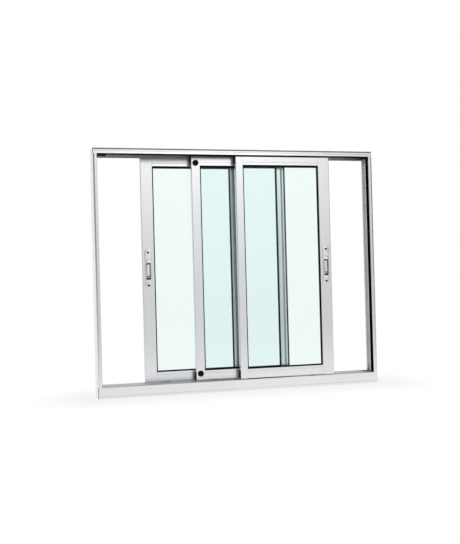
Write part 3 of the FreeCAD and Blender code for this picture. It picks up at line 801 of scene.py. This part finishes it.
def studio_floor(colour):
    """Pale floor that shows white, with the window's soft shadow near its foot; in reflections it glows white
    near the window, a painted pool of light that fades further out.
    """
    material, output = new_material("studio_floor")
    tree = material.node_tree
    matt = add(tree, "ShaderNodeBsdfDiffuse", {"Color": tone(colour, 1.0)})
    place = add(tree, "ShaderNodeNewGeometry").outputs["Position"]
    reach = add(tree, "ShaderNodeVectorMath", None, {0: place}, operation="LENGTH").outputs["Value"]
    depth = add(tree, "ShaderNodeSeparateXYZ", None, {"Vector": place}).outputs["Y"]
    rear = add(tree, "ShaderNodeMapRange", {"From Min": -0.05, "From Max": 0.05}, {"Value": depth})
    # How far a point lies outside the window's own footprint
    footprint = (0.6, 0.05, 0)
    aside = add(tree, "ShaderNodeVectorMath", None, {0: place}, operation="ABSOLUTE")
    apart = add(
        tree, "ShaderNodeVectorMath", {1: footprint}, {0: aside.outputs["Vector"]}, operation="SUBTRACT")
    outside = add(
        tree, "ShaderNodeVectorMath", {1: (0, 0, 0)}, {0: apart.outputs["Vector"]}, operation="MAXIMUM")
    away = add(tree, "ShaderNodeVectorMath", None, {0: outside.outputs["Vector"]}, operation="LENGTH")
    white = add(
        tree, "ShaderNodeMapRange", {"From Min": 0.0, "From Max": 0.3, "To Min": 0.88, "To Max": 1.0},
        {"Value": away.outputs["Value"]}, interpolation_type="SMOOTHSTEP")
    # Painted glow: seen in reflections, the floor shines as white light near the window and less further out
    near = add(tree, "ShaderNodeMapRange", {"From Min": 1.0, "From Max": 2.5, "To Min": 1.0, "To Max": 0.52},
               {"Value": reach})
    glow = add(tree, "ShaderNodeEmission", {"Strength": 1.0})
    shown = shown_rays(tree, rear.outputs["Result"])
    seen = add(tree, "ShaderNodeMath", None, {0: white.outputs["Result"], 1: shown}, operation="MULTIPLY")
    glossy = add(tree, "ShaderNodeLightPath").outputs["Is Glossy Ray"]
    reflected_glow = add(tree, "ShaderNodeMath", None, {0: near.outputs["Result"], 1: glossy}, operation="MULTIPLY")
    share = add(tree, "ShaderNodeMath", None, {0: seen.outputs["Value"], 1: reflected_glow.outputs["Value"]},
                operation="MAXIMUM")
    mix = add(tree, "ShaderNodeMixShader", None, {"Fac": share.outputs["Value"]})
    tree.links.new(matt.outputs["BSDF"], mix.inputs[1])
    tree.links.new(glow.outputs["Emission"], mix.inputs[2])
    tree.links.new(mix.outputs["Shader"], output.inputs["Surface"])
    return material


def studio_world():
    """White backdrop behind the window, and a dim room that is brighter in front, as under a wide softbox."""
    world = bpy.data.worlds.new("studio")
    world.use_nodes = True
    tree = world.node_tree
    tree.nodes.clear()
    output = add(tree, "ShaderNodeOutputWorld")
    way = add(tree, "ShaderNodeTexCoord").outputs["Generated"]
    depth = add(tree, "ShaderNodeSeparateXYZ", None, {"Vector": way}).outputs["Y"]
    behind = add(tree, "ShaderNodeMapRange", {"From Min": 0.0, "From Max": 0.3}, {"Value": depth})
    wall = add(
        tree, "ShaderNodeMapRange", {"From Min": -0.6, "From Max": -0.97, "To Min": 0.14, "To Max": 0.40},
        {"Value": depth}, interpolation_type="SMOOTHSTEP")
    # The softbox: where it stands, how far its light reaches to the sides and upwards, and its strength
    side, rise = math.radians(15), math.radians(11)
    half_width, half_height, strength = 0.36, 0.32, 1.3
    aim = (math.sin(side) * math.cos(rise), -math.cos(side) * math.cos(rise), math.sin(rise))
    apart = add(tree, "ShaderNodeVectorMath", {1: aim}, {0: way}, operation="SUBTRACT").outputs["Vector"]
    spread = add(
        tree, "ShaderNodeVectorMath", {1: (1 / half_width, 0, 1 / half_height)}, {0: apart},
        operation="MULTIPLY")
    reach = add(tree, "ShaderNodeVectorMath", None, {0: spread.outputs["Vector"]}, operation="LENGTH")
    soft = add(
        tree, "ShaderNodeMapRange", {"From Min": 1.0, "From Max": 0.0, "To Min": 0.0, "To Max": strength},
        {"Value": reach.outputs["Value"]}, interpolation_type="SMOOTHSTEP")
    level = add(
        tree, "ShaderNodeMath", None, {0: wall.outputs["Result"], 1: soft.outputs["Result"]},
        operation="ADD")
    room = add(tree, "ShaderNodeBackground", {"Color": (1, 1, 1, 1)}, {"Strength": level.outputs["Value"]})
    white = add(tree, "ShaderNodeBackground", {"Color": (1, 1, 1, 1), "Strength": 1.0})
    mix = add(tree, "ShaderNodeMixShader", None, {"Fac": shown_rays(tree, behind.outputs["Result"])})
    tree.links.new(room.outputs["Background"], mix.inputs[1])
    tree.links.new(white.outputs["Background"], mix.inputs[2])
    tree.links.new(mix.outputs["Shader"], output.inputs["Surface"])
    return world


def lamp(name, place, aim, size, power):
    """A soft area lamp that looks at a point."""
    bpy.ops.object.select_all(action="DESELECT")
    bpy.ops.object.light_add(type="AREA", location=place)
    light = bpy.context.object
    light.name = name
    light.rotation_euler = (Vector(aim) - Vector(place)).to_track_quat("-Z", "Y").to_euler()
    light.data.shape = "RECTANGLE"
    light.data.size, light.data.size_y = size
    light.data.energy = power


class AddStage(bpy.types.Operator):
    """Add the floor, the background, the lamp and the camera"""

    bl_idname = "sliding_window.add_stage"
    bl_label = "Stage"

    def execute(self, context):
        bpy.ops.object.select_all(action="DESELECT")
        bpy.ops.mesh.primitive_plane_add(size=FLOOR_SIZE)
        floor = context.object
        floor.name = "floor"
        floor.data.materials.append(studio_floor(context.scene.window_finish.floor))
        context.scene.world = studio_world()
        lamp("key", place=(0.7, -4.0, 2.5), aim=(0, 0, 0.75), size=(1.6, 1.2), power=8)

        bpy.ops.object.select_all(action="DESELECT")
        bpy.ops.object.camera_add(location=CAMERA_PLACE)
        camera = context.object
        turn = Euler((0, 0, CAMERA_TURN)).to_matrix()
        tilt = Euler((CAMERA_TILT, 0, 0)).to_matrix()
        roll = Euler((0, 0, CAMERA_ROLL)).to_matrix()
        camera.rotation_euler = (turn @ tilt @ roll).to_euler()
        camera.data.lens = CAMERA_LENS
        camera.data.sensor_width = SENSOR_WIDTH
        context.scene.camera = camera
        context.scene.view_settings.view_transform = "Standard"
        return {"FINISHED"}


class WindowPanel(bpy.types.Panel):
    """Lists the window's colours, sizes and operators in the sidebar"""

    bl_idname = "VIEW3D_PT_sliding_window"
    bl_label = "Sliding Window"
    bl_space_type = "VIEW_3D"
    bl_region_type = "UI"
    bl_category = "Window"

    def draw(self, context):
        for group in (context.scene.window_finish, context.scene.fitting_sizes):
            for name in type(group).__annotations__:
                self.layout.prop(group, name)
        for operator in OPERATORS:
            self.layout.operator(operator.bl_idname)


OPERATORS = (
    FinishBars, AddLatchPlates, AddThumbPieces, AddScrews, AddButtons, AddDustBlocks, AddBrushSeals, AddStage)


def register():
    for group in (WindowFinish, FittingSizes, *OPERATORS, WindowPanel):
        bpy.utils.register_class(group)
    bpy.types.Scene.window_finish = PointerProperty(type=WindowFinish)
    bpy.types.Scene.fitting_sizes = PointerProperty(type=FittingSizes)


def unregister():
    del bpy.types.Scene.fitting_sizes
    del bpy.types.Scene.window_finish
    for group in (WindowPanel, *reversed(OPERATORS), FittingSizes, WindowFinish):
        bpy.utils.unregister_class(group)


def main():
    register()
    bpy.ops.sliding_window.finish_bars()
    bpy.ops.sliding_window.add_latch_plates()
    bpy.ops.sliding_window.add_thumb_pieces()
    bpy.ops.sliding_window.add_screws()
    bpy.ops.sliding_window.add_buttons()
    bpy.ops.sliding_window.add_dust_blocks()
    bpy.ops.sliding_window.add_brush_seals()
    bpy.ops.sliding_window.add_stage()


if __name__ == "__main__":
    main()
